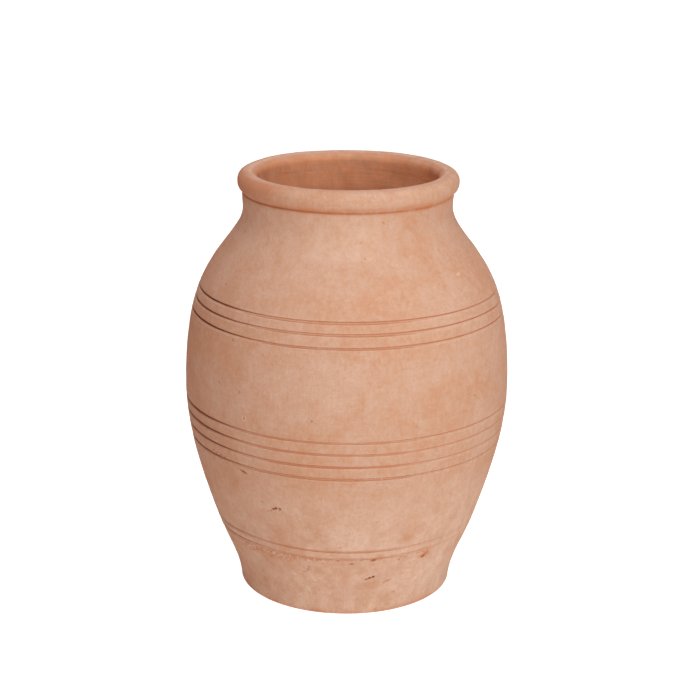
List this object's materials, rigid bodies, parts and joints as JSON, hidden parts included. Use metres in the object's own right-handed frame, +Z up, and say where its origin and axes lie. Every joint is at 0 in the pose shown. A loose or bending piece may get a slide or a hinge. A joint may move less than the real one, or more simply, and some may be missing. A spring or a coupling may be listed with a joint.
{
  "type": "terracotta floor jar",
  "caption": "Handleless terracotta floor jar with a rolled lip, short neck, full belly ringed with incised lines, and a narrow flat foot.",
  "frame": {"origin": "centre of the underside, on the surface that the jar stands on", "axes": "+Z up along the jar's turning axis, towards the mouth; X and Y are alike, because the jar is round"},
  "size_m": [0.4, 0.3998, 0.525],
  "materials": {
    "terracotta": "matte",
    "slip": "matte"
  },
  "bodies": {
    "root": {"base_slab": "terracotta", "slip_base": "slip", "base_fillet_coil": "terracotta", "foot_section": "terracotta", "slip_foot": "slip", "lower_belly_section": "terracotta", "slip_belly": "slip", "upper_belly_section": "terracotta", "slip_shoulder": "slip", "shoulder_section": "terracotta", "slip_neck": "slip", "neck_section": "terracotta", "slip_rim": "slip", "rim_coil": "terracotta"}
  },
  "joints": []
}
